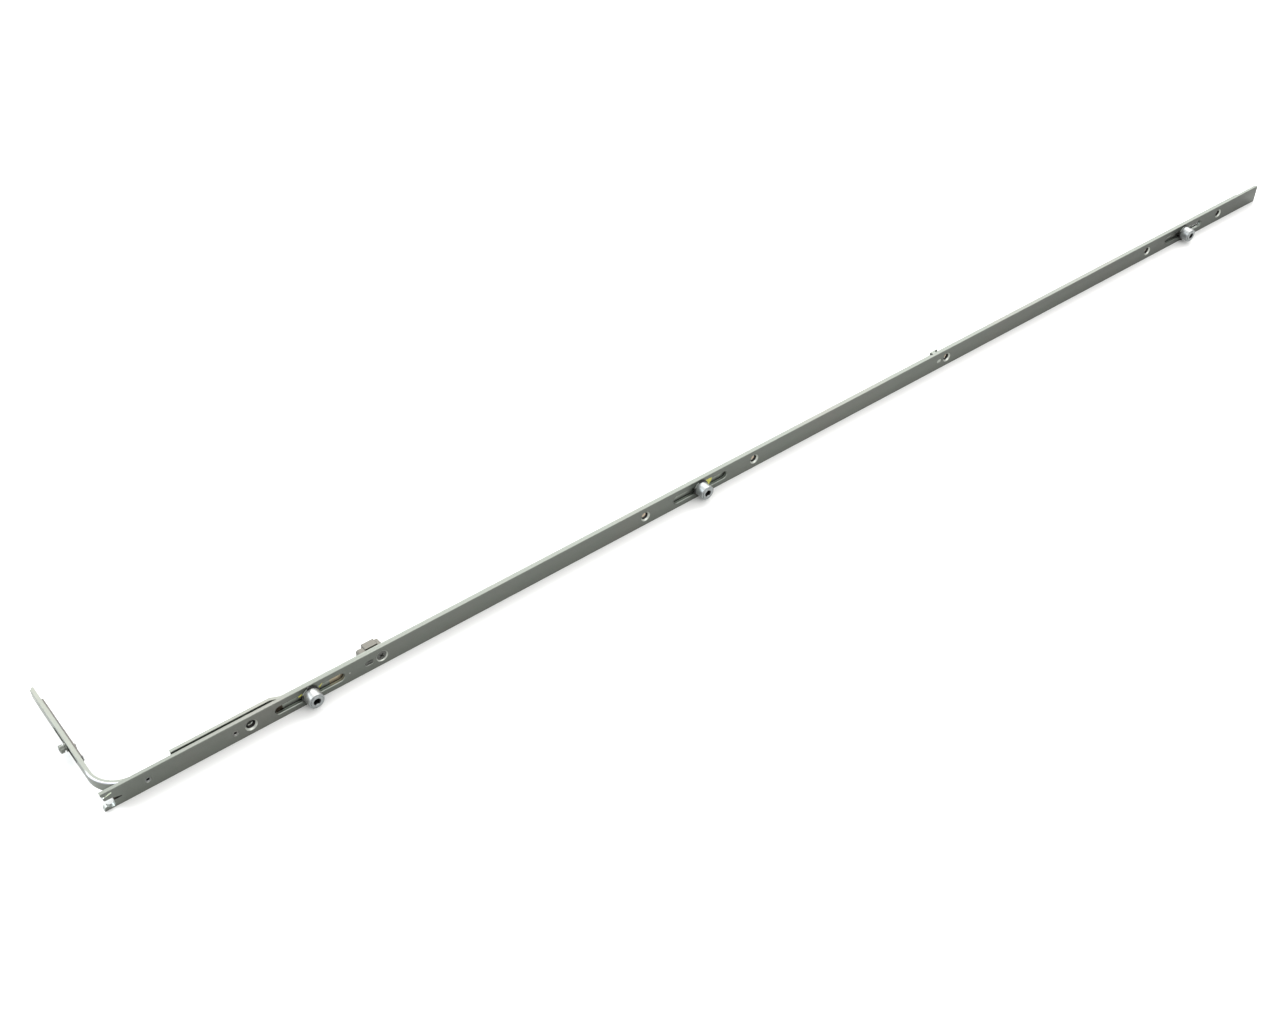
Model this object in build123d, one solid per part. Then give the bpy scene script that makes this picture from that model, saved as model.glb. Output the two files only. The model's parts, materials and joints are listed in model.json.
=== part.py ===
from build123d import *
import os

os.makedirs("parts", exist_ok=True)

# Flush bolt for a window or door edge: a long faceplate with a sliding drive rod behind it, and a
# spring band that carries the stroke round a corner to a short rod. Millimetres. X runs along the
# faceplate from its forked end, Y points into the sash, Z is across the faceplate's width.

# driving dimensions
PLATE_LENGTH = 1171.0
PLATE_WIDTH = 16.0
PLATE_THICK = 3.0
EDGE_ROUND = 0.35
FORK_LENGTH = 14.0                  # the forked end, a node of its own
EASED_EDGE = 0.15                   # chamfer on the front edges of holes
SLOT_EASE = 0.4                     # flare round the front of the slots
MID_Z = PLATE_WIDTH / 2

ROD_WIDTH = 12.0
ROD_THICK = 2.3
ROD_GAP = 0.5                       # between the faceplate's back and the drive rod
ROD_FRONT = PLATE_THICK + ROD_GAP
ROD_BACK = ROD_FRONT + ROD_THICK
ROD_END_X = 1146.0

STROKE_OUT = 18.0                   # drive rod towards the corner
STROKE_IN = 14.0                    # drive rod away from the corner

SLOT_LENGTH = 52.0                  # slots in the faceplate, one for each cam
SLOT_WIDTH = 6.5
CAM_X = (146.0, 481.0, 1061.0)      # axes of the rollers
CAM_THROW = 0.8                     # roller axis to pin axis

SCREW_HOLE_R = 2.2
SCREW_SINK_R = 4.1
SCREW_X = (428.0, 535.0, 748.0, 1009.0, 1113.0)
CORNER_SCREW_X = 102.6
CORNER_SINK_R = 4.5
RELIEF_WIDTH = 5.2                  # slots in the rod that pass screws and lugs, start and end
STRAP_RELIEF = (81.0, 124.0)
RELIEFS = (
    (173.0, 223.5), (406.0, 450.0), (510.0, 556.0),
    (717.0, 770.0), (987.0, 1031.0), (1077.0, 1135.0),
)

RIVET_X = (30.5, 91.3)              # hollow rivets that hold the corner guide
RIVET_R = 2.1
RIVET_BORE_R = 1.2

# corner guide: an outer strip and an inner channel, bent round a quarter circle
GUIDE_WIDTH = 8.0
GUIDE_LOW = MID_Z - GUIDE_WIDTH / 2
GUIDE_FACE_X = 1.2                  # outer face of the short leg
GUIDE_FACE_Y = PLATE_THICK          # outer face of the long leg, on the faceplate's back
GUIDE_BEND = 23.0                   # outer bend radius
BEND_X = GUIDE_FACE_X + GUIDE_BEND
BEND_Y = GUIDE_FACE_Y + GUIDE_BEND
STRIP_THICK = 1.2
CHANNEL_DEPTH = 1.9
CHANNEL_WALL = 0.9
CHANNEL_FLANGE = 0.8
GUIDE_DEPTH = STRIP_THICK + CHANNEL_DEPTH
STRIP_END_X = 106.0
CHANNEL_END_X = 88.0
STRIP_TIP_Y = 114.9
CHANNEL_TIP_Y = 116.4
STRIP_ROUND = 0.5                   # outer edges of the corner strip
PASS_WIDTH = 4.6                    # slots in the guide for rivets and the stud

# spring band: leaves that slide inside the channel
LEAF_THICK = 0.25
LEAF_GAP = 0.05
LEAF_COUNT = 3
BAND_INSET = STRIP_THICK + 0.07
BAND_THICK = LEAF_COUNT * LEAF_THICK + (LEAF_COUNT - 1) * LEAF_GAP
BAND_WIDTH = 6.0
BAND_JOIN_X = 44.0
BAND_END_X = 69.5
BAND_RIVET_X = (57.0, 66.0)
BAND_JOIN_Y = 40.6
BAND_END_Y = 46.0
BAND_RIVET_Y = 42.6
BAND_RIVET_R = 1.5
BAND_COLLAR_R = 2.1
BAND_SPLIT = 0.1

# joggled end of the drive rod, over the corner guide
STRAP_FRONT = 6.4
STRAP_THICK = 2.6
STRAP_START_X = 50.0
STRAP_ROOT_X = 132.0                # where it meets the flat rod
JOGGLE_X = 120.0
JOGGLE_RUN = 7.0
JOGGLE_SHIFT = 0.5                  # moves the back corners so that the bend keeps its thickness

# short rod, on the inner side of the short leg
SHORT_ROD_X = GUIDE_FACE_X + GUIDE_DEPTH + 0.1
SHORT_ROD_THICK = 0.9
SHORT_ROD_START = 40.2
SHORT_ROD_END = 102.6
STUD_Y = 57.5
STUD_NECK_R = 2.0
STUD_HEAD_R = 2.9
STUD_HEAD_FRONT = -3.5
STUD_HEAD_BACK = -0.9
STUD_PLATE_START = 53.0
STUD_PLATE_END = 68.8
STUD_PLATE_THICK = 0.9

# cams
ROLLER_R = 5.8
ROLLER_BORE_R = 4.05
ROLLER_FRONT = -8.6
ROLLER_BACK = -0.95
CORE_R = 4.0
CORE_FRONT = -9.0
COLLAR_R = 4.7
COLLAR_DEPTH = 0.9
FLANGE_R = 6.7
FLANGE_FRONT = -0.85
FLANGE_BACK = -0.3
NECK_R = 3.0
TAIL_R = 2.5
TAIL_END = ROD_BACK + 1.5
HEX_ACROSS = 4.5
HEX_DEPTH = 4.5
HEX_MOUTH_R = 2.9
POINTER_TURN = (8.0, 205.0, 170.0)  # where each flange's pointer stands, from straight up
FIT_GAP = 0.05                      # radial clearance of the turning fits

# die-cast guide block and its screw, and the clip that holds the rod further along
BLOCK_START = 187.0
BLOCK_END = 205.0
BLOCK_FRONT = ROD_BACK + 0.3
BLOCK_LUG_X = 191.0
BLOCK_SCREW_X = 201.0
LUG_LENGTH = 7.0
LUG_WIDTH = 4.0
LUG_RECESS = 0.4
PUNCH_X = 176.0                     # small punch mark on the front face
PUNCH_R = 0.5
CLIP_LUG_X = 739.0
CLIP_LUG_LENGTH = 4.6
CLIP_LUG_WIDTH = 3.0


def plate_y(sketch, front, thickness):
    """Front view (X right, Z up) extruded into the sash from y = front."""
    return extrude(Plane.XZ.offset(-front) * sketch, -thickness)


def plate_x(sketch, face, thickness):
    """Side view (Y right, Z up) extruded along +X from x = face."""
    return extrude(Plane.YZ.offset(face) * sketch, thickness)


def plate_z(sketch, low, high):
    """Plan view (X right, Y up) extruded from z = low to z = high."""
    return extrude(Plane.XY.offset(low) * sketch, high - low)


def disc_y(x, z, radius, front, back):
    return plate_y(Pos(x, z) * Circle(radius), front, back - front)


def disc_x(y, z, radius, face, back):
    return plate_x(Pos(y, z) * Circle(radius), face, back - face)


def slot_y(start, end, width, front, back):
    """A slot along X with round ends, from x = start to x = end."""
    outline = Pos((start + end) / 2, MID_Z) * SlotOverall(end - start, width)
    return plate_y(outline, front, back - front)


def countersink(x, sink_radius):
    """A through hole with a cone that opens to the front face."""
    hole = disc_y(x, MID_Z, SCREW_HOLE_R, -1, PLATE_THICK + 1)
    cone_depth = sink_radius - SCREW_HOLE_R
    cone = Cone(sink_radius, SCREW_HOLE_R, cone_depth, align=(Align.CENTER, Align.CENTER, Align.MIN))
    return hole + Pos(x, 0, MID_Z) * Rot(-90, 0, 0) * cone


def fork_cut():
    """What is cut from the faceplate's end: kerf, coupling gap, notch and tapered slit."""
    hook_top = [(-1, 3.5), (2.1, 3.5), (2.8, 2.95), (3.4, 2.2), (4.2, 1.45), (5.0, 1.15), (5.8, 1.1)]
    notch = [(6.6, 1.45), (7.2, 2.3), (7.3, 3.3), (7.1, 5.6), (7.1, 6.35)]
    slit = [(9.8, 6.25), (12.7, 6.6), (12.7, 6.95), (9.8, 7.8), (7.3, 8.7)]
    gap = make_face(Polyline(hook_top + notch + slit + [(6.4, 9.0), (3.7, 9.1), (-1, 9.1)], close=True))
    tongue = Pos(2.55, 10.7) * Circle(1.6)
    nose = Pos(0.8, 11.0) * Rectangle(3.6, 3.8) - tongue
    kerf_top = [(-1, 12.9), (1.1, 12.9), (2.6, 12.8), (4.2, 13.6), (6.3, 14.0), (7.1, 13.8)]
    kerf_bottom = [(7.0, 13.1), (5.0, 12.6), (3.3, 12.3), (2.2, 12.25), (-1, 12.25)]
    kerf = make_face(Polyline(kerf_top + kerf_bottom, close=True)) - tongue
    lead_in = make_face(Polyline([(-1, 14.7), (0, 14.7), (1.1, 12.8), (-1, 12.8)], close=True))
    hook_lead_in = make_face(Polyline([(-1, 1.6), (0, 1.6), (0.9, 3.6), (-1, 3.6)], close=True))
    return plate_y(gap + nose + kerf + lead_in + hook_lead_in, -1, PLATE_THICK + 2)


def plate_blank(start, end):
    blank = Pos((start + end) / 2, PLATE_THICK / 2, MID_Z) * Box(end - start, PLATE_THICK, PLATE_WIDTH)
    return fillet(blank.edges().filter_by(Axis.X), EDGE_ROUND)


def faceplate_fork():
    """The forked end, which hooks into the next piece of gear."""
    return plate_blank(0, FORK_LENGTH) - fork_cut()


def ease_front(body):
    """Breaks the front edges of the holes and the square end."""
    front = body.edges().filter_by_position(Axis.Y, -0.01, 0.01)
    past_fork = [edge for edge in front if edge.center().X > FORK_LENGTH + 1]
    return chamfer([edge for edge in past_fork if edge.length < SLOT_LENGTH], EASED_EDGE)


def cam_slot(x):
    """A slot through the faceplate with a flared front edge."""
    middle = Pos(x, MID_Z)
    mouth = Plane.XZ * middle * SlotOverall(SLOT_LENGTH + 2 * SLOT_EASE, SLOT_WIDTH + 2 * SLOT_EASE)
    throat = Plane.XZ.offset(-SLOT_EASE) * middle * SlotOverall(SLOT_LENGTH, SLOT_WIDTH)
    through = slot_y(x - SLOT_LENGTH / 2, x + SLOT_LENGTH / 2, SLOT_WIDTH, -1, PLATE_THICK + 1)
    return loft([mouth, throat]) + through


def long_faceplate():
    body = plate_blank(FORK_LENGTH, PLATE_LENGTH)
    for x in SCREW_X:
        body -= countersink(x, SCREW_SINK_R)
    for x in (CORNER_SCREW_X, BLOCK_SCREW_X):
        body -= countersink(x, CORNER_SINK_R)
    for x in RIVET_X:
        body -= disc_y(x, MID_Z, RIVET_R, -1, PLATE_THICK + 1)
    lug_slots = ((BLOCK_LUG_X, LUG_LENGTH, LUG_WIDTH), (CLIP_LUG_X, CLIP_LUG_LENGTH, CLIP_LUG_WIDTH))
    for x, length, width in lug_slots:
        body -= slot_y(x - length / 2, x + length / 2, width, -1, PLATE_THICK + 1)
    body = ease_front(body)
    for x in CAM_X:
        body -= cam_slot(x)
    dot = Cone(PUNCH_R, 0.05, PUNCH_R, align=(Align.CENTER, Align.CENTER, Align.MIN))
    return body - Pos(PUNCH_X, 0, MID_Z) * Rot(-90, 0, 0) * dot


def bent_strip(near, far, x_end, y_end, low, high):
    """A strip round the corner, between two depths below the guide's outer face."""
    outer = [
        Line((x_end, GUIDE_FACE_Y + near), (BEND_X, GUIDE_FACE_Y + near)),
        CenterArc((BEND_X, BEND_Y), GUIDE_BEND - near, 270, -90),
        Line((GUIDE_FACE_X + near, BEND_Y), (GUIDE_FACE_X + near, y_end)),
    ]
    inner = [
        Line((GUIDE_FACE_X + far, y_end), (GUIDE_FACE_X + far, BEND_Y)),
        CenterArc((BEND_X, BEND_Y), GUIDE_BEND - far, 180, 90),
        Line((BEND_X, GUIDE_FACE_Y + far), (x_end, GUIDE_FACE_Y + far)),
    ]
    ends = [
        Line((GUIDE_FACE_X + near, y_end), (GUIDE_FACE_X + far, y_end)),
        Line((x_end, GUIDE_FACE_Y + far), (x_end, GUIDE_FACE_Y + near)),
    ]
    return plate_z(make_face(outer + ends[:1] + inner + ends[1:]), low, high)


def stud_slot():
    """The short leg's slot, as long as the stud's travel on both sides."""
    length = STROKE_OUT + STROKE_IN + PASS_WIDTH
    outline = Pos(STUD_Y + (STROKE_OUT - STROKE_IN) / 2, MID_Z) * SlotOverall(length, PASS_WIDTH)
    return plate_x(outline, GUIDE_FACE_X - 1, GUIDE_DEPTH + 2)


def corner_strip():
    body = bent_strip(0, STRIP_THICK, STRIP_END_X, STRIP_TIP_Y, GUIDE_LOW, GUIDE_LOW + GUIDE_WIDTH)
    bends = body.edges().filter_by(GeomType.CIRCLE)
    outer_bends = [edge for edge in bends if edge.radius > GUIDE_BEND - STRIP_THICK / 2]
    runs = body.edges().filter_by(Axis.Y)
    outer_runs = runs.filter_by_position(Axis.X, GUIDE_FACE_X - 0.1, GUIDE_FACE_X + 0.1)
    body = fillet(outer_bends + list(outer_runs), STRIP_ROUND)
    body -= stud_slot()
    back = GUIDE_FACE_Y + STRIP_THICK
    for x in RIVET_X:
        body -= disc_y(x, MID_Z, RIVET_R, GUIDE_FACE_Y - 1, back + 1)
    flat_hole = Pos(CORNER_SCREW_X, MID_Z) * Circle(2.9) & Pos(CORNER_SCREW_X, MID_Z - 0.6) * Rectangle(6, 6)
    return body - plate_y(flat_hole, GUIDE_FACE_Y - 1, STRIP_THICK + 2)


def corner_channel():
    high = GUIDE_LOW + GUIDE_WIDTH
    body = bent_strip(STRIP_THICK, GUIDE_DEPTH, CHANNEL_END_X, CHANNEL_TIP_Y, GUIDE_LOW, high)
    hollow_depth = GUIDE_DEPTH - CHANNEL_WALL
    body -= bent_strip(STRIP_THICK, hollow_depth, CHANNEL_END_X + 1, CHANNEL_TIP_Y - 3,
                       GUIDE_LOW + CHANNEL_FLANGE, high - CHANNEL_FLANGE)
    body -= stud_slot()
    # the slots that let the band's two rivets travel
    start = BAND_RIVET_X[0] - STROKE_OUT - PASS_WIDTH / 2
    end = BAND_RIVET_X[-1] + STROKE_IN + PASS_WIDTH / 2
    body -= slot_y(start, end, PASS_WIDTH, GUIDE_FACE_Y + STRIP_THICK, GUIDE_FACE_Y + GUIDE_DEPTH + 1)
    low_y = BAND_RIVET_Y - STROKE_IN - PASS_WIDTH / 2
    run = STUD_Y - low_y
    outline = Pos(low_y + run / 2, MID_Z) * Rectangle(run, PASS_WIDTH)
    return body - plate_x(outline, GUIDE_FACE_X + STRIP_THICK, CHANNEL_DEPTH + 1)


def hollow_rivet(x):
    body = disc_y(x, MID_Z, RIVET_R - 0.02, 0.3, GUIDE_FACE_Y + STRIP_THICK - 0.1)
    return body - disc_y(x, MID_Z, RIVET_BORE_R, 0, GUIDE_FACE_Y + 0.6)


def band_leaves(x_end, y_end):
    """The leaves of the spring band round the bend."""
    leaves = []
    for i in range(LEAF_COUNT):
        near = BAND_INSET + i * (LEAF_THICK + LEAF_GAP)
        leaves.append(bent_strip(near, near + LEAF_THICK, x_end, y_end,
                                 MID_Z - BAND_WIDTH / 2, MID_Z + BAND_WIDTH / 2))
    return leaves


def straight_leaves_long():
    outline = Pos((BAND_JOIN_X + BAND_SPLIT + BAND_END_X) / 2, MID_Z) * Rectangle(
        BAND_END_X - BAND_JOIN_X - BAND_SPLIT, BAND_WIDTH)
    for x in BAND_RIVET_X:
        outline -= Pos(x, MID_Z) * Circle(BAND_RIVET_R + 0.03)
    depths = [BAND_INSET + i * (LEAF_THICK + LEAF_GAP) for i in range(LEAF_COUNT)]
    return [plate_y(outline, GUIDE_FACE_Y + d, LEAF_THICK) for d in depths]


def straight_leaves_short():
    outline = Pos((BAND_JOIN_Y + BAND_SPLIT + BAND_END_Y) / 2, MID_Z) * Rectangle(
        BAND_END_Y - BAND_JOIN_Y - BAND_SPLIT, BAND_WIDTH)
    outline -= Pos(BAND_RIVET_Y, MID_Z) * Circle(BAND_RIVET_R + 0.03)
    depths = [BAND_INSET + i * (LEAF_THICK + LEAF_GAP) for i in range(LEAF_COUNT)]
    return [plate_x(outline, GUIDE_FACE_X + d, LEAF_THICK) for d in depths]


def drive_rod():
    """Flat rod behind the faceplate, with the reliefs that let it pass screws and lugs."""
    outline = Pos((STRAP_ROOT_X + ROD_END_X) / 2, MID_Z) * Rectangle(ROD_END_X - STRAP_ROOT_X, ROD_WIDTH)
    body = plate_y(outline, ROD_FRONT, ROD_THICK)
    body = chamfer(body.edges().filter_by(Axis.X), EASED_EDGE)
    for start, end in RELIEFS:
        body -= slot_y(start, end, RELIEF_WIDTH, 0, ROD_BACK + 1)
    for x in CAM_X:
        body -= disc_y(x - CAM_THROW, MID_Z, NECK_R + FIT_GAP, 0, ROD_BACK + 1)
    return body


def rod_strap():
    """The drive rod's joggled end, which passes over the corner guide."""
    joggle_end = JOGGLE_X + JOGGLE_RUN
    profile = Polyline([
        (STRAP_START_X, STRAP_FRONT),
        (JOGGLE_X, STRAP_FRONT),
        (joggle_end, ROD_FRONT),
        (STRAP_ROOT_X, ROD_FRONT),
        (STRAP_ROOT_X, ROD_BACK),
        (joggle_end + JOGGLE_SHIFT, ROD_BACK),
        (JOGGLE_X + JOGGLE_SHIFT, STRAP_FRONT + STRAP_THICK),
        (STRAP_START_X, STRAP_FRONT + STRAP_THICK),
    ], close=True)
    low = MID_Z - ROD_WIDTH / 2
    body = plate_z(make_face(profile), low, low + ROD_WIDTH)
    body = chamfer(body.edges().filter_by(Axis.X), EASED_EDGE)
    far = STRAP_FRONT + STRAP_THICK + 1
    body -= slot_y(*STRAP_RELIEF, RELIEF_WIDTH, 0, far)
    for x in BAND_RIVET_X:
        body -= disc_y(x, MID_Z, BAND_RIVET_R + 0.03, 0, far)
    return body


def band_rivet_long(x):
    """Joins the band to the drive rod's joggled end through a slot in the channel."""
    band_front = GUIDE_FACE_Y + BAND_INSET
    band_back = band_front + BAND_THICK
    strap_back = STRAP_FRONT + STRAP_THICK
    body = disc_y(x, MID_Z, BAND_RIVET_R, band_front, strap_back + 0.5)
    body += disc_y(x, MID_Z, BAND_COLLAR_R, band_back, STRAP_FRONT)
    head = disc_y(x, MID_Z, 2.9, strap_back, strap_back + 0.9)
    return body + chamfer(head.faces().sort_by(Axis.Y)[-1].edges(), 0.4)


def band_rivet_short():
    """Joins the band to the short rod."""
    band_outer = GUIDE_FACE_X + BAND_INSET
    band_inner = band_outer + BAND_THICK
    rod_back = SHORT_ROD_X + SHORT_ROD_THICK
    body = disc_x(BAND_RIVET_Y, MID_Z, BAND_RIVET_R, band_outer, rod_back + 0.5)
    body += disc_x(BAND_RIVET_Y, MID_Z, BAND_COLLAR_R, band_inner, SHORT_ROD_X)
    head = disc_x(BAND_RIVET_Y, MID_Z, 2.3, rod_back, rod_back + 0.9)
    return body + chamfer(head.faces().sort_by(Axis.X)[-1].edges(), 0.45)


def short_rod():
    length = SHORT_ROD_END - SHORT_ROD_START
    outline = Pos(SHORT_ROD_START + length / 2, MID_Z) * Rectangle(length, GUIDE_WIDTH)
    outline -= Pos(STUD_Y, MID_Z) * Circle(STUD_NECK_R + 0.03)
    outline -= Pos(BAND_RIVET_Y, MID_Z) * Circle(BAND_RIVET_R + 0.03)
    return plate_x(outline, SHORT_ROD_X, SHORT_ROD_THICK)


def stud_plate():
    span = STUD_PLATE_END - STUD_PLATE_START
    outline = Pos(STUD_PLATE_START + span / 2, MID_Z) * Rectangle(span, GUIDE_WIDTH)
    outline -= Pos(STUD_Y, MID_Z) * Circle(STUD_NECK_R + 0.03)
    return plate_x(outline, SHORT_ROD_X + SHORT_ROD_THICK, STUD_PLATE_THICK)


def coupling_stud():
    """Small headed stud of the short rod, in front of the short leg."""
    back = SHORT_ROD_X + SHORT_ROD_THICK + STUD_PLATE_THICK
    body = disc_x(STUD_Y, MID_Z, STUD_NECK_R, STUD_HEAD_BACK - 0.1, back)
    body += disc_x(STUD_Y, MID_Z, 3.4, 0.3, 0.9)
    head = disc_x(STUD_Y, MID_Z, STUD_HEAD_R, STUD_HEAD_FRONT, STUD_HEAD_BACK)
    body += chamfer(head.faces().sort_by(Axis.X)[0].edges(), 0.4)
    body += disc_x(STUD_Y, MID_Z, 2.8, back, back + 0.4)
    return body - disc_x(STUD_Y, MID_Z, 1.2, STUD_HEAD_FRONT - 1, STUD_HEAD_FRONT + 0.8)


def cam_pin(x, pointer_turn):
    """Eccentric pin: a core for the roller, a base flange, and a neck that turns in the rod."""
    pivot = x - CAM_THROW
    body = disc_y(x, MID_Z, CORE_R, CORE_FRONT, FLANGE_BACK)
    collar = disc_y(x, MID_Z, COLLAR_R, CORE_FRONT, CORE_FRONT + COLLAR_DEPTH)
    body += chamfer(collar.faces().sort_by(Axis.Y)[0].edges(), 0.35)
    body += disc_y(x, MID_Z, FLANGE_R, FLANGE_FRONT, FLANGE_BACK)
    pointer = Pos(x, MID_Z) * Rot(0, 0, pointer_turn) * Pos(0, FLANGE_R) * Rectangle(1.8, 2.4)
    body += plate_y(pointer, FLANGE_FRONT, FLANGE_BACK - FLANGE_FRONT)
    body += disc_y(pivot, MID_Z, NECK_R, FLANGE_BACK, ROD_BACK)
    body += disc_y(pivot, MID_Z, TAIL_R, ROD_BACK, TAIL_END)
    socket = Pos(x, MID_Z) * RegularPolygon(HEX_ACROSS / 2, 6, major_radius=False)
    body -= plate_y(socket, CORE_FRONT - 1, HEX_DEPTH + 1)
    mouth = Cone(HEX_MOUTH_R, HEX_MOUTH_R - 0.8, 0.8, align=(Align.CENTER, Align.CENTER, Align.MIN))
    return body - Pos(x, CORE_FRONT, MID_Z) * Rot(-90, 0, 0) * mouth


def cam_roller(x):
    body = disc_y(x, MID_Z, ROLLER_R, ROLLER_FRONT, ROLLER_BACK)
    body = chamfer(body.edges().filter_by(GeomType.CIRCLE), 0.35)
    body -= disc_y(x, MID_Z, ROLLER_BORE_R, ROLLER_FRONT - 1, ROLLER_BACK + 1)
    return body - disc_y(x, MID_Z, COLLAR_R + FIT_GAP, ROLLER_FRONT - 1, CORE_FRONT + COLLAR_DEPTH + 0.1)


def cam_washer(x):
    """Friction washer on the rod's back, round the pin's tail."""
    ring = Circle(5.0) - Circle(TAIL_R + FIT_GAP)
    return plate_y(Pos(x - CAM_THROW, MID_Z) * ring, ROD_BACK, 0.8)


def cam_retainer(x):
    """Ring pressed on the pin's tail behind the washer."""
    ring = Circle(3.9) - Circle(TAIL_R)
    body = plate_y(Pos(x - CAM_THROW, MID_Z) * ring, ROD_BACK + 0.85, TAIL_END - ROD_BACK - 0.85)
    return body


def cast_step(start, end, width, front, back, ease):
    """One step of the casting, with rounded corners and an eased back face."""
    outline = Pos((start + end) / 2, MID_Z) * RectangleRounded(end - start, width, ease + 0.3)
    step = plate_y(outline, front, back - front)
    return chamfer(step.faces().sort_by(Axis.Y)[-1].edges(), ease)


def guide_block():
    """Die-cast block behind the rod, with a lug that reaches through to the faceplate."""
    body = cast_step(BLOCK_START, BLOCK_END, 10.4, BLOCK_FRONT, 8.4, 0.4)
    body += cast_step(BLOCK_START, 193.4, 10.8, BLOCK_FRONT, 11.6, 1.3)
    body += cast_step(BLOCK_START + 1.2, 191.6, 8.4, BLOCK_FRONT, 12.4, 0.8)
    body += cast_step(192.4, 202.3, ROD_WIDTH, 7.0, 13.3, 0.55)
    body += cast_step(201.8, BLOCK_END, 10.2, BLOCK_FRONT, 12.6, 0.5)
    lug = Pos(BLOCK_LUG_X, MID_Z) * SlotOverall(LUG_LENGTH - 0.1, LUG_WIDTH - 0.1)
    body += plate_y(lug, LUG_RECESS, BLOCK_FRONT - LUG_RECESS + 0.5)
    for z in (MID_Z - 1.0, MID_Z + 1.0):
        groove = Pos(BLOCK_LUG_X + 0.5, z) * SlotOverall(3.6, 0.6)
        body -= plate_y(groove, LUG_RECESS - 0.5, 0.9)
    return body - disc_y(BLOCK_SCREW_X, MID_Z, 1.75, BLOCK_FRONT - 1, BLOCK_FRONT + 5.8)


def block_screw():
    """Countersunk screw with a cross recess that pulls the block to the faceplate."""
    head_depth = 2.1
    head_front = 0.7
    head = Cone(3.8, 1.7, head_depth, align=(Align.CENTER, Align.CENTER, Align.MIN))
    body = Pos(BLOCK_SCREW_X, head_front, MID_Z) * Rot(-90, 0, 0) * head
    body += disc_y(BLOCK_SCREW_X, MID_Z, 1.7, head_front + head_depth - 0.1, BLOCK_FRONT + 5.5)
    arms = Rectangle(4.4, 0.9) + Rectangle(0.9, 4.4) + Circle(1.0)
    return body - plate_y(Pos(BLOCK_SCREW_X, MID_Z) * Rot(0, 0, 45) * arms, 0, 2.0)


def rod_clip():
    """Sheet saddle that keeps the rod on the faceplate, staked with an oval lug."""
    front = ROD_BACK + 0.3
    body = plate_y(Pos(CLIP_LUG_X - 1, MID_Z) * Rectangle(8, 14.2), front, 0.9)
    for z in (MID_Z - 6.7, MID_Z + 6.7):
        body += plate_y(Pos(CLIP_LUG_X - 2.5, z) * Rectangle(4, 0.8), PLATE_THICK, front - PLATE_THICK + 0.5)
    lug = Pos(CLIP_LUG_X, MID_Z) * SlotOverall(CLIP_LUG_LENGTH - 0.1, CLIP_LUG_WIDTH - 0.1)
    return body + plate_y(lug, LUG_RECESS, front - LUG_RECESS + 0.5)


def save(name, solids):
    """One file for each node; several solids in one node stay separate."""
    shape = Compound(children=list(solids)) if isinstance(solids, (list, tuple)) else solids
    export_step(shape, f"parts/{name}.step")


save("faceplate_fork", faceplate_fork())
save("long_faceplate", long_faceplate())
save("corner_strip", corner_strip())
save("corner_channel", corner_channel())
save("guide_rivets", [hollow_rivet(x) for x in RIVET_X])
save("guide_block", guide_block())
save("block_screw", block_screw())
save("rod_clip", rod_clip())
save("spring_band_bend", band_leaves(BAND_JOIN_X, BAND_JOIN_Y))
save("spring_band_long", straight_leaves_long())
save("spring_band_short", straight_leaves_short())
save("drive_rod", drive_rod())
save("rod_strap", rod_strap())
save("band_rivets_long", [band_rivet_long(x) for x in BAND_RIVET_X])
save("band_rivet_short", band_rivet_short())
save("short_rod", short_rod())
save("stud_plate", stud_plate())
save("coupling_stud", coupling_stud())
for number, (cam_x, turn) in enumerate(zip(CAM_X, POINTER_TURN), start=1):
    save(f"cam_{number}_pin", cam_pin(cam_x, turn))
    save(f"cam_{number}_roller", cam_roller(cam_x))
    save(f"cam_{number}_washer", cam_washer(cam_x))
    save(f"cam_{number}_retainer", cam_retainer(cam_x))
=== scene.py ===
import bpy
import bmesh
import json
import math
from mathutils import Matrix, Vector


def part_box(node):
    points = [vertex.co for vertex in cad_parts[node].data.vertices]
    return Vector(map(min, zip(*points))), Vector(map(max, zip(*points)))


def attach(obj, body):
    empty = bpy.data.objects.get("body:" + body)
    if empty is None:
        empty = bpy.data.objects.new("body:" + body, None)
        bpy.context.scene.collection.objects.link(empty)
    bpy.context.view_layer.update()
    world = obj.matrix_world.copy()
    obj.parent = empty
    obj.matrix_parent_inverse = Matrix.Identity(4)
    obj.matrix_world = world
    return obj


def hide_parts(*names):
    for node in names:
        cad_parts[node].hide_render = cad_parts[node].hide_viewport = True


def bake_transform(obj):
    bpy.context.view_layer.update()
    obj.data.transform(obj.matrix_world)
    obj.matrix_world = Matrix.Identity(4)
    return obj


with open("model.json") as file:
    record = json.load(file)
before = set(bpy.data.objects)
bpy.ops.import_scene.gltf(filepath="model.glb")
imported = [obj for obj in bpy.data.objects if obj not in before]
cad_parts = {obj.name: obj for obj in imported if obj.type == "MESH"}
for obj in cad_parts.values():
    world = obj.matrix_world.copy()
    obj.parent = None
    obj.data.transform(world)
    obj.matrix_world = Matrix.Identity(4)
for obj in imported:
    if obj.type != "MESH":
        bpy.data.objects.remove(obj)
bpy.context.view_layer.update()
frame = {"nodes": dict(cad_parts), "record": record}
print("frame loaded:", len(frame["nodes"]), "nodes")

mm = 0.001


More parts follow.
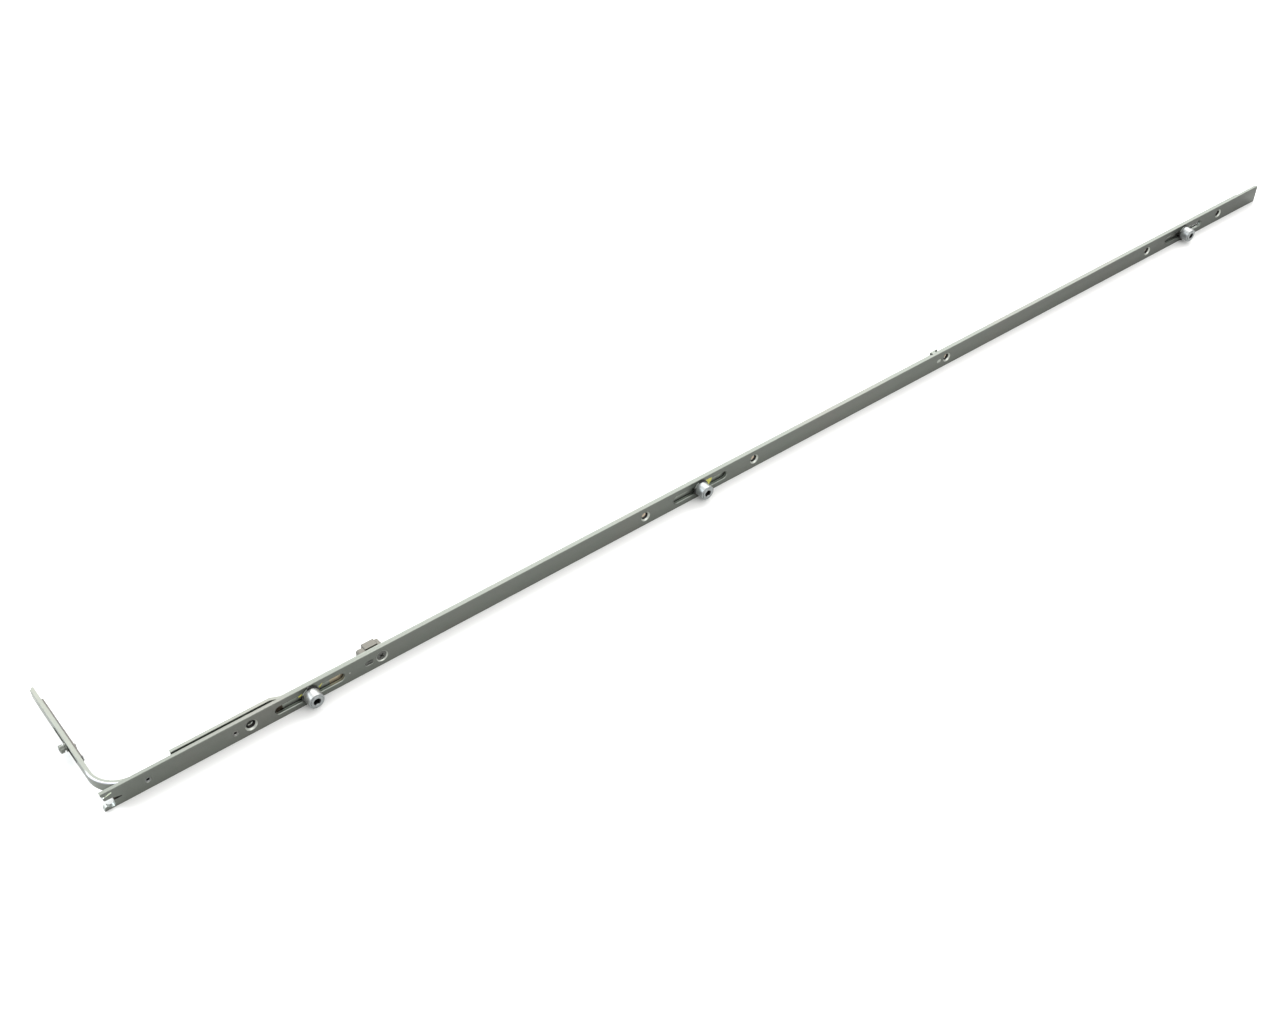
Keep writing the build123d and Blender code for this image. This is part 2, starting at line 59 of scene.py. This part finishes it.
# shader sums: a socket that adds, subtracts and multiplies
class Wire:
    def __init__(self, tree, out=None):
        self.tree = tree
        self.out = out

    def make(self, kind, settings=None, links=None, pick=0):
        node = self.tree.nodes.new(kind)
        for name, value in (settings or {}).items():
            if name == "stops":
                ramp = node.color_ramp
                while len(ramp.elements) < len(value):
                    ramp.elements.new(0.5)
                for stop, (place, colour) in zip(ramp.elements, value):
                    stop.position = place
                    stop.color = (*colour, 1)
            else:
                setattr(node, name, value)
        for name, value in (links or {}).items():
            if isinstance(value, Wire):
                self.tree.links.new(value.out, node.inputs[name])
            else:
                node.inputs[name].default_value = value
        return Wire(self.tree, node.outputs[pick])

    def sum(self, operation, first, second):
        return self.make("ShaderNodeMath", {"operation": operation}, {0: first, 1: second})

    def __add__(self, other):
        return self.sum("ADD", self, other)

    __radd__ = __add__

    def __mul__(self, other):
        return self.sum("MULTIPLY", self, other)

    __rmul__ = __mul__

    def __sub__(self, other):
        return self.sum("SUBTRACT", self, other)

    def __rsub__(self, other):
        return self.sum("SUBTRACT", other, self)

    def noise(self, place, scale, detail=4.0, rough=0.55):
        return self.make("ShaderNodeTexNoise", {"noise_dimensions": "3D"},
                         {"Vector": place, "Scale": scale, "Detail": detail, "Roughness": rough})

    def stretched(self, place, scale):
        return self.make("ShaderNodeMapping", {"vector_type": "POINT"},
                         {"Vector": place, "Scale": scale})

    def ramp(self, value, stops):
        return self.make("ShaderNodeValToRGB", {"stops": stops}, {"Fac": value})

    def tint(self, factor, first, second):
        first, second = [(*c, 1) if isinstance(c, tuple) else c for c in (first, second)]
        return self.make("ShaderNodeMix", {"data_type": "RGBA"}, {0: factor, 6: first, 7: second}, pick=2)

    def step(self, value, low, high):
        return self.make("ShaderNodeMapRange", {"interpolation_type": "SMOOTHSTEP"},
                         {"Value": value, "From Min": low, "From Max": high})

    def rise(self, value, low, high):  # low and high in mm
        return self.step(value, low * mm, high * mm)

    def band(self, value, low, high, soft=0.08):
        return self.rise(value, low - soft, low) * self.rise(value, high + soft, high)

    def parts(self, place):
        split = self.make("ShaderNodeSeparateXYZ", None, {"Vector": place}).out.node
        return [Wire(self.tree, out) for out in split.outputs]


# colours, gloss and grain of every metal
finishes = {
    "plateZinc": {
        "slot": "plate_zinc", "pale": (0.160, 0.172, 0.153), "deep": (0.134, 0.145, 0.128),
        "warm": (0.158, 0.156, 0.141), "metal": 0.9, "gloss": (0.32, 0.46),
        "grain": (9, 620, 620), "grainDepth": 0.10, "spangle": 160, "speck": 0.25,
        "zones": "plate",
    },
    "stripZinc": {
        "slot": "strip_zinc", "pale": (0.180, 0.193, 0.170), "deep": (0.150, 0.161, 0.143),
        "warm": (0.184, 0.182, 0.156), "metal": 0.85, "gloss": (0.28, 0.42),
        "grain": (60, 60, 700), "grainDepth": 0.08, "spangle": 220, "speck": 0.2,
        "zones": "strip",
    },
    "rodZinc": {
        "slot": "rod_zinc", "pale": (0.172, 0.188, 0.167), "deep": (0.147, 0.160, 0.142),
        "warm": (0.178, 0.174, 0.153), "metal": 0.85, "gloss": (0.30, 0.44),
        "grain": (8, 500, 500), "grainDepth": 0.12, "spangle": 190, "speck": 0.25,
        "zones": "rod",
    },
    "camZinc": {
        "slot": "cam_zinc", "pale": (0.37, 0.38, 0.37), "deep": (0.27, 0.292, 0.30),
        "warm": (0.39, 0.35, 0.32), "metal": 0.85, "gloss": (0.34, 0.48),
        "grain": (60, 900, 60), "grainDepth": 0.06, "spangle": 420, "speck": 0.15,
        "zones": "cam",
    },
    "rivetZinc": {
        "slot": "rivet_zinc", "pale": (0.27, 0.28, 0.27), "deep": (0.19, 0.20, 0.20),
        "warm": (0.29, 0.26, 0.22), "metal": 0.9, "gloss": (0.24, 0.38),
        "grain": (300, 300, 300), "grainDepth": 0.05, "spangle": 500, "speck": 0.2,
    },
    "castNickel": {
        "slot": "diecast_nickel", "pale": (0.135, 0.130, 0.112), "deep": (0.105, 0.101, 0.088),
        "warm": (0.146, 0.134, 0.113), "metal": 0.7, "gloss": (0.38, 0.54),
        "grain": (1500, 1500, 1500), "grainDepth": 0.22, "spangle": 260, "speck": 0.35,
        "zones": "cast",
    },
    "springSteel": {
        "slot": "spring_steel", "pale": (0.085, 0.083, 0.08), "deep": (0.05, 0.048, 0.047),
        "warm": (0.09, 0.078, 0.065), "metal": 0.9, "gloss": (0.26, 0.40),
        "grain": (60, 60, 800), "grainDepth": 0.06, "spangle": 240, "speck": 0.2,
    },
}


# tones of the places where a metal differs: cut walls, stained patches, painted shade and painted
# highlights
tones = {
    "slotWall": (0.22, 0.24, 0.215), "slotShade": (0.012, 0.012, 0.012),
    "forkWall": (0.34, 0.37, 0.355), "kerfPaintedHighlight": (0.85, 0.88, 0.80), "slit": (0.03, 0.026, 0.022),
    "sink": (0.40, 0.42, 0.38), "bore": (0.012, 0.011, 0.010), "paintedFrontShade": (0.03, 0.031, 0.028),
    "bendPaintedHighlight": (0.42, 0.43, 0.46),
    "paintedLitRodFront": (0.36, 0.385, 0.345), "stain": (0.62, 0.52, 0.37),
    "relief": (0.12, 0.094, 0.066), "reliefPaintedShadow": (0.010, 0.010, 0.009),
    "shadedCamFace": (0.235, 0.25, 0.25), "socket": (0.03, 0.03, 0.03),
    "flange": (0.06, 0.06, 0.058), "flangeHighlight": (0.50, 0.53, 0.50),
    "castFoot": (0.085, 0.088, 0.08),
}
# where those places are, in mm
marks = {
    "slots": ((119.6, 172.4), (454.6, 507.4), (1034.6, 1087.4)),
    "wallDepth": (0.1, 2.9), "wallHeight": (0.7, 15.3), "slotShade": (2.3, 2.5), "bore": (1.0, 1.25),
    "forkEnd": (13.9, 13.6), "slitStart": (7.15, 7.3), "slitLow": (5.9, 6.2), "kerfLow": (11.6, 11.9),
    "front": (0.3, 0.1), "shadeHeight": (1.0, 16.0), "shadeRun": (550.0, 1200.0),
    "bendX": (24, 18), "bendY": (30, 22), "bendTop": (11.4, 11.7),
    "bendCentre": (24.2, 26.0), "bendRadius": (21.7, 22.0),
    "paintedLitRodFront": (3.62, 3.56), "stainRun": (162.0, 172.6),
    "reliefDepth": (3.62, 5.7), "reliefHeight": (2.2, 13.8), "reliefPaintedShadow": (1070.0, 1098.0),
    "shadedCamFace": (-8.2, -8.5), "socketDepth": (-8.8, -3.0), "socketHeight": (5.7, 10.3),
    "flange": (-1.2, -1.0), "flangeTop": (10.4, 11.4), "flangeSoft": 0.8,
    "flangeLeft": ((138.0, 143.4), (473.0, 478.4), (1053.0, 1058.4)),
    "castFoot": (3.2, 3.0),
}
# how strong the painted shade on the front gets, and the shape of the stain
frontShading = {"upper": 0.26, "far": 0.42}
stainCloud = {"stretch": (900, 200, 300), "edge": (0.2, 0.45)}


def plateZone(wire, place, colour):
    x, y, z = wire.parts(place)
    wall = wire.band(y, *marks["wallDepth"]) * wire.band(z, *marks["wallHeight"])
    first, second, third = [wire.band(x, *slot) for slot in marks["slots"]]
    inSlot = first + second + third
    inFork = wire.rise(x, *marks["forkEnd"])
    hole = wall * (1 - inSlot) * (1 - inFork)
    # painted shade: the walls of the tapered gap in the fork painted near-black
    slit = wall * inFork * wire.rise(x, *marks["slitStart"]) * wire.rise(z, *marks["slitLow"])
    colour = wire.tint(wall * inSlot, colour, tones["slotWall"])
    colour = wire.tint(wall * inSlot * wire.rise(y, *marks["slotShade"]), colour, tones["slotShade"])
    colour = wire.tint(wall * inFork, colour, tones["forkWall"])
    # painted highlight: fork walls above the kerf's lower edge painted near-white
    colour = wire.tint(wall * inFork * wire.rise(z, *marks["kerfLow"]), colour, tones["kerfPaintedHighlight"])
    colour = wire.tint(slit, colour, tones["slit"])
    colour = wire.tint(hole, colour, tones["sink"])
    # painted shade: the bore of each hole below the countersink painted near-black
    colour = wire.tint(hole * wire.rise(y, *marks["bore"]), colour, tones["bore"])
    # painted shade: the front is painted a little darker towards its upper edge and its far end
    upper = wire.rise(z, *marks["shadeHeight"]) * frontShading["upper"]
    far = wire.rise(x, *marks["shadeRun"]) * frontShading["far"]
    dull = wire.rise(y, *marks["front"]) * (upper + far)
    return wire.tint(dull, colour, tones["paintedFrontShade"])


def stripZone(wire, place, colour):
    x, y, z = wire.parts(place)
    # painted highlight: a pale line painted along the outer top edge of the bend
    bend = wire.rise(x, *marks["bendX"]) * wire.rise(y, *marks["bendY"])
    bend = bend * wire.rise(z, *marks["bendTop"])
    centreX, centreY = marks["bendCentre"]
    near, far = marks["bendRadius"]
    across, along = x - centreX * mm, y - centreY * mm
    paintedHighlightRim = wire.step(across * across + along * along, (near * mm) ** 2, (far * mm) ** 2)
    return wire.tint(bend * paintedHighlightRim, colour, tones["bendPaintedHighlight"])


def rodZone(wire, place, colour):
    x, y, z = wire.parts(place)
    # painted light: the rod's front face, seen through the slots, painted lighter
    front = wire.rise(y, *marks["paintedLitRodFront"])
    colour = wire.tint(front, colour, tones["paintedLitRodFront"])
    blotch = wire.noise(wire.stretched(place, stainCloud["stretch"]), 1.0, detail=2.0)
    stain = front * wire.band(x, *marks["stainRun"]) * wire.step(blotch, *stainCloud["edge"])
    colour = wire.tint(stain, colour, tones["stain"])
    # painted shade: the relief walls painted dark brown, and near-black at the far slot's end
    relief = wire.band(y, *marks["reliefDepth"]) * wire.band(z, *marks["reliefHeight"])
    colour = wire.tint(relief, colour, tones["relief"])
    return wire.tint(relief * wire.band(x, *marks["reliefPaintedShadow"]), colour, tones["reliefPaintedShadow"])


def camZone(wire, place, colour):
    x, y, z = wire.parts(place)
    # painted shade: the front face of each roller and pin painted darker than its flanks
    return wire.tint(wire.rise(y, *marks["shadedCamFace"]), colour, tones["shadedCamFace"])


def pinZone(wire, place, colour):
    x, y, z = wire.parts(place)
    colour = camZone(wire, place, colour)
    # painted shade: the hex recess inside each pin painted near-black
    socket = wire.band(y, *marks["socketDepth"]) * wire.band(z, *marks["socketHeight"])
    colour = wire.tint(socket, colour, tones["socket"])
    # painted shade: the flange behind each roller painted dark, with a painted highlight as a pale arc at
    # its upper left
    flange = wire.rise(y, *marks["flange"])
    colour = wire.tint(flange, colour, tones["flange"])
    first, second, third = [wire.band(x, *span, marks["flangeSoft"]) for span in marks["flangeLeft"]]
    upperLeft = wire.rise(z, *marks["flangeTop"]) * (first + second + third)
    return wire.tint(flange * upperLeft, colour, tones["flangeHighlight"])


def castZone(wire, place, colour):
    x, y, z = wire.parts(place)
    return wire.tint(wire.rise(y, *marks["castFoot"]), colour, tones["castFoot"])


zones = {
    "plate": plateZone, "strip": stripZone, "rod": rodZone,
    "cam": camZone, "pin": pinZone, "cast": castZone,
}
# what every metal shares: clouding, a warmer cast here and there, drawn grain and flecks
weave = {
    "cloudShare": 0.6, "grainShare": 0.4, "driftScale": 14.0,
    "fleckScale": 1400.0, "fleckStops": [(0.62, (0, 0, 0)), (0.72, (1, 1, 1))], "fleckTone": 0.6,
    "warmStops": [(0.46, (0, 0, 0)), (0.70, (0.6, 0.6, 0.6))],
    "glossSpread": 1.4, "glossShift": 0.2, "grainBump": 0.75, "fleckBump": 0.25, "bumpHeight": 0.0002,
}


def metalFinish(name, finish):
    material = bpy.data.materials.new(name)
    material.use_nodes = True
    tree = material.node_tree
    tree.nodes.clear()
    wire = Wire(tree)
    place = wire.make("ShaderNodeTexCoord", pick=3)
    cloud = wire.noise(place, finish["spangle"], detail=3.0)
    drift = wire.noise(place, weave["driftScale"], detail=2.0)
    grain = wire.noise(wire.stretched(place, finish["grain"]), 1.0, detail=3.0, rough=0.7)
    fleck = wire.ramp(wire.noise(place, weave["fleckScale"], detail=1.0), weave["fleckStops"])
    mix = cloud * weave["cloudShare"] + grain * weave["grainShare"]
    colour = wire.tint(mix, finish["deep"], finish["pale"])
    patch = wire.ramp(drift, weave["warmStops"])
    colour = wire.tint(patch, colour, finish["warm"])
    fleckTone = tuple(weave["fleckTone"] * c for c in finish["deep"])
    colour = wire.tint(fleck * finish["speck"], colour, fleckTone)
    smooth, dull = finish["gloss"]
    spread = dull - smooth
    rough = (cloud * 0.5 + grain * 0.5) * spread * weave["glossSpread"]
    rough = rough + (smooth - weave["glossShift"] * spread)
    if "zones" in finish:
        colour = zones[finish["zones"]](wire, place, colour)
    relief = grain * weave["grainBump"] + fleck * weave["fleckBump"]
    bump = wire.make("ShaderNodeBump", None, {
        "Strength": finish["grainDepth"], "Distance": weave["bumpHeight"], "Height": relief,
    })
    shader = wire.make("ShaderNodeBsdfPrincipled", None, {
        "Base Color": colour, "Metallic": finish["metal"], "Roughness": rough, "Normal": bump,
    })
    out = tree.nodes.new("ShaderNodeOutputMaterial")
    tree.links.new(shader.out, out.inputs["Surface"])
    return material


metals = {name: metalFinish(name, finish) for name, finish in finishes.items()}
slotMetal = {finish["slot"]: metals[name] for name, finish in finishes.items()}
metals["pinZinc"] = metalFinish("pinZinc", finishes["camZinc"] | {"zones": "pin"})
special = {f"cam_{number}_pin": metals["pinZinc"] for number in (1, 2, 3)}
special["stud_plate"] = special["band_rivet_short"] = metals["camZinc"]
special["block_screw"] = metals["castNickel"]
special["coupling_stud"] = metals["rodZinc"]
nodeSlot = {part["node"]: part["material_slot"] for part in frame["record"]["subparts"]}
for node, obj in frame["nodes"].items():
    obj.data.materials.clear()
    obj.data.materials.append(special.get(node, slotMetal[nodeSlot[node]]))
print("finishes:", len(metals))


greaseLook = {
    "scale": 900.0, "deep": (0.30, 0.26, 0.004), "pale": (0.46, 0.48, 0.09),
    "bump": 0.3, "bumpHeight": 0.0003, "rough": 0.28,
}


def greaseFinish():
    material = bpy.data.materials.new("grease")
    material.use_nodes = True
    tree = material.node_tree
    tree.nodes.clear()
    wire = Wire(tree)
    place = wire.make("ShaderNodeTexCoord", pick=3)
    cloud = wire.noise(place, greaseLook["scale"], detail=2.0)
    colour = wire.tint(cloud, greaseLook["deep"], greaseLook["pale"])
    bump = wire.make("ShaderNodeBump", None, {
        "Strength": greaseLook["bump"], "Distance": greaseLook["bumpHeight"], "Height": cloud,
    })
    shader = wire.make("ShaderNodeBsdfPrincipled", None, {
        "Base Color": colour, "Roughness": greaseLook["rough"], "Normal": bump,
    })
    out = tree.nodes.new("ShaderNodeOutputMaterial")
    tree.links.new(shader.out, out.inputs["Surface"])
    return material


grease = greaseFinish()


def finishPiece(name, mesh, material, body, nodes=()):
    data = bpy.data.meshes.new(name)
    mesh.to_mesh(data)
    mesh.free()
    data.materials.append(material)
    obj = bpy.data.objects.new(name, data)
    bpy.context.scene.collection.objects.link(obj)
    if body:
        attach(obj, body)
    for node in nodes:
        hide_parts(node)
    return obj


weld = 1e-7  # corners closer than this are one


def smoothFaces(mesh, angle=35):
    for face in mesh.faces:
        face.smooth = True
    for edge in mesh.edges:
        if len(edge.link_faces) == 2 and edge.calc_face_angle(0) > math.radians(angle):
            edge.smooth = False


def turnedShape(profile, centre, axis, steps=72):
    # profile: (radius, distance along the axis) in mm, a closed outline turned round the axis
    mesh = bmesh.new()
    along = Vector(axis)
    out = Vector((0, 0, 1))
    middle = Vector(centre)
    ring = [mesh.verts.new((middle + out * radius + along * run) * mm) for radius, run in profile]
    edges = [mesh.edges.new((ring[i], ring[(i + 1) % len(ring)])) for i in range(len(ring))]
    bmesh.ops.spin(mesh, geom=ring + edges, cent=middle * mm, axis=along, angle=math.tau, steps=steps,
                   use_merge=True, use_duplicate=False)
    bmesh.ops.remove_doubles(mesh, verts=mesh.verts, dist=weld)
    bmesh.ops.recalc_face_normals(mesh, faces=mesh.faces)
    smoothFaces(mesh)
    return mesh


roller = {
    "radius": 5.8, "bore": 4.05, "step": 4.75, "stepDepth": 0.72, "front": -8.6, "back": -0.95,
    "ease": 0.32, "easeSteps": 4, "easedFrom": 5.5, "easedAngle": 40,
}


def rollerPiece(number):
    low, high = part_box(f"cam_{number}_roller")
    centre = ((low.x + high.x) / 2 / mm, 0, (low.z + high.z) / 2 / mm)
    r = roller
    recess = r["front"] + r["stepDepth"]
    profile = [
        (r["bore"], r["back"]), (r["radius"], r["back"]), (r["radius"], r["front"]),
        (r["step"], r["front"]), (r["step"], recess), (r["bore"], recess),
    ]
    mesh = turnedShape(profile, centre, (0, 1, 0))
    middle = Vector((centre[0], centre[2])) * mm
    rims = [edge for edge in mesh.edges if edge.calc_face_angle(0) > math.radians(r["easedAngle"])
            and (edge.verts[0].co.xz - middle).length > r["easedFrom"] * mm]
    bmesh.ops.bevel(mesh, geom=rims, offset=r["ease"] * mm, affect="EDGES", segments=r["easeSteps"],
                    profile=0.5, material=-1)
    smoothFaces(mesh)
    finishPiece(f"roller{number}", mesh, metals["camZinc"], f"roller_{number}",
                [f"cam_{number}_roller"])


hollowRivet = {
    "places": (30.5, 91.3), "height": 8, "radius": 2.08, "bore": 1.2, "rim": 0.3, "lip": 0.55,
    "rimInner": 1.5, "rimOuter": 1.85, "pole": 0.02, "end": 4.1, "floor": 3.6, "steps": 40,
}


def hollowRivets():
    r = hollowRivet
    whole = bmesh.new()
    for x in r["places"]:
        profile = [
            (r["bore"], r["lip"]), (r["rimInner"], r["rim"]), (r["rimOuter"], r["rim"]),
            (r["radius"], r["lip"]), (r["radius"], r["end"]),
            (r["pole"], r["end"]), (r["pole"], r["floor"]), (r["bore"], r["floor"]),
        ]
        mesh = turnedShape(profile, (x, 0, r["height"]), (0, 1, 0), steps=r["steps"])
        data = bpy.data.meshes.new("part")
        mesh.to_mesh(data)
        mesh.free()
        whole.from_mesh(data)
        bpy.data.meshes.remove(data)
    smoothFaces(whole)
    finishPiece("hollowRivets", whole, metals["rivetZinc"], "frame", ["guide_rivets"])


band = {
    "leaves": 3, "thick": 0.25, "pitch": 0.30, "inset": 1.27, "low": 5.0, "high": 11.0,
    "faceX": 1.2, "faceY": 3.0, "bend": 23.0, "longEnd": 69.5, "shortEnd": 46.0, "steps": 24,
    "halfBend": 45, "bendSteps": 10,
}


def bandRun(along, tangent, end, sideways):
    # leaves from the free end along the straight run, then half-way round the bend
    mesh = bmesh.new()
    centre = Vector((band["faceX"] + band["bend"], band["faceY"] + band["bend"], 0)) * mm
    for leaf in range(band["leaves"]):
        near = band["inset"] + leaf * band["pitch"]
        corners = []
        for depth, z in ((near, band["low"]), (near + band["thick"], band["low"]),
                         (near + band["thick"], band["high"]), (near, band["high"])):
            place = (end, band["faceY"] + depth, z) if along == "x" else (band["faceX"] + depth, end, z)
            corners.append(mesh.verts.new(Vector(place) * mm))
        face = mesh.faces.new(corners)
        run = Vector((1, 0, 0)) if along == "x" else Vector((0, 1, 0))
        stride = run * (tangent - end) / band["steps"] * mm
        for _ in range(band["steps"]):
            grown = bmesh.ops.extrude_face_region(mesh, geom=[face])["geom"]
            corners = [v for v in grown if isinstance(v, bmesh.types.BMVert)]
            bmesh.ops.translate(mesh, verts=corners, vec=stride)
            face = next(f for f in grown if isinstance(f, bmesh.types.BMFace))
        bmesh.ops.spin(mesh, geom=[face, *face.edges, *face.verts], cent=centre, axis=(0, 0, 1),
                       angle=math.radians(band["halfBend"]) * sideways, steps=band["bendSteps"],
                       use_duplicate=False)
    bmesh.ops.remove_doubles(mesh, verts=mesh.verts, dist=weld)
    bmesh.ops.recalc_face_normals(mesh, faces=mesh.faces)
    return mesh


def springBand():
    tangentX = band["faceX"] + band["bend"]
    tangentY = band["faceY"] + band["bend"]
    steel = metals["springSteel"]
    longRun = finishPiece("bandLong", bandRun("x", tangentX, band["longEnd"], -1), steel, None,
                          ["spring_band_long", "spring_band_bend"])
    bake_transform(longRun)
    shortRun = finishPiece("bandShort", bandRun("y", tangentY, band["shortEnd"], 1), steel, None,
                           ["spring_band_short"])
    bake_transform(shortRun)


smears = {
    "greaseMiddle": {
        "body": "frame", "place": (488.6, 0.0, 10.3), "size": (3.1, 0.24, 2.7), "turn": 20,
    },
    "greaseFirst": {
        "body": "frame", "place": (153.8, 0.0, 10.9), "size": (1.9, 0.12, 0.5), "turn": 42,
    },
    "greaseFirstLow": {
        "body": "frame", "place": (138.6, 0.0, 11.0), "size": (1.6, 0.13, 0.6), "turn": 20,
    },
}


# waves of a smear's ragged outline: height, how many, phase
ragged = ((0.16, 3, 1.3), (0.09, 7, 0.4))


def greaseSmear(name, smear):
    mesh = bmesh.new()
    bmesh.ops.create_icosphere(mesh, subdivisions=4, radius=1.0)
    for vert in mesh.verts:
        angle = math.atan2(vert.co.z, vert.co.x)
        coarse, fine = [height * math.sin(count * angle + phase) for height, count, phase in ragged]
        vert.co *= 1 + coarse + fine
    bmesh.ops.scale(mesh, verts=mesh.verts, vec=Vector(smear["size"]) * mm)
    turn = Matrix.Rotation(math.radians(-smear["turn"]), 3, "Y")
    bmesh.ops.rotate(mesh, verts=mesh.verts, cent=(0, 0, 0), matrix=turn)
    bmesh.ops.translate(mesh, verts=mesh.verts, vec=Vector(smear["place"]) * mm)
    smoothFaces(mesh, 80)
    finishPiece(name, mesh, grease, smear["body"])


for number in (1, 2, 3):
    rollerPiece(number)
hollowRivets()
springBand()
for name, smear in smears.items():
    greaseSmear(name, smear)
print("pieces made")


studio = {
    "floorTone": (0.86, 0.86, 0.85), "floorSize": 60.0, "floorPlace": (0.5, 0, -0.0001),
    "floorRough": 0.9, "floorSheen": 0.1,
    "worldTone": (1.0, 1.0, 1.0), "worldPower": 1.0,
    "topPower": 165.0, "topSize": (5.4, 2.3), "topPlace": (1.75, 1.7, 1.95), "topAim": (0.5, 0, 0),
    "frontPower": 14.0, "frontSize": (1.8, 1.2), "frontPlace": (0.75, -1.4, 1.1),
    "frontAim": (0.45, 0, 0),
    "sidePower": 24.0, "sideSize": (1.2, 1.2), "sidePlace": (-1.15, 1.15, 0.95),
    "sideAim": (0.3, 0, 0), "sideTone": (0.86, 0.94, 1.0),
}


def plainFloor():
    mesh = bmesh.new()
    bmesh.ops.create_grid(mesh, x_segments=1, y_segments=1, size=studio["floorSize"])
    bmesh.ops.translate(mesh, verts=mesh.verts, vec=studio["floorPlace"])
    data = bpy.data.meshes.new("floor")
    mesh.to_mesh(data)
    mesh.free()
    floor = bpy.data.objects.new("floor", data)
    bpy.context.scene.collection.objects.link(floor)
    material = bpy.data.materials.new("paleFloor")
    material.use_nodes = True
    skin = material.node_tree.nodes["Principled BSDF"]
    skin.inputs["Base Color"].default_value = (*studio["floorTone"], 1)
    skin.inputs["Roughness"].default_value = studio["floorRough"]
    skin.inputs["Specular IOR Level"].default_value = studio["floorSheen"]
    data.materials.append(material)


def softLight(name, side, tone=(1, 1, 1)):
    place, aim = studio[side + "Place"], studio[side + "Aim"]
    lamp = bpy.data.lights.new(name, "AREA")
    lamp.shape = "RECTANGLE"
    lamp.size, lamp.size_y = studio[side + "Size"]
    lamp.energy = studio[side + "Power"]
    lamp.color = tone
    obj = bpy.data.objects.new(name, lamp)
    obj.location = place
    obj.rotation_euler = (Vector(aim) - Vector(place)).to_track_quat("-Z", "Y").to_euler()
    bpy.context.scene.collection.objects.link(obj)


def studioSetUp():
    plainFloor()
    world = bpy.data.worlds.new("studio")
    world.use_nodes = True
    sky = world.node_tree.nodes["Background"]
    sky.inputs["Color"].default_value = (*studio["worldTone"], 1)
    sky.inputs["Strength"].default_value = studio["worldPower"]
    bpy.context.scene.world = world
    softLight("overhead", "top")
    softLight("frontFill", "front")
    softLight("sideFill", "side", studio["sideTone"])
    bpy.context.scene.view_settings.view_transform = "Standard"


view = {
    "place": (-0.12133, -0.69589, 0.79847), "turn": (48.4448, 0.2685, -38.2594),
    "lens": 45.10, "sensor": 36.0, "near": 0.01,
}


def cameraSetUp():
    data = bpy.data.cameras.new("camera")
    data.lens = view["lens"]
    data.sensor_width = view["sensor"]
    data.clip_start = view["near"]
    camera = bpy.data.objects.new("camera", data)
    camera.location = view["place"]
    camera.rotation_euler = [math.radians(a) for a in view["turn"]]
    bpy.context.scene.collection.objects.link(camera)
    bpy.context.scene.camera = camera


studioSetUp()
cameraSetUp()
print("studio ready")
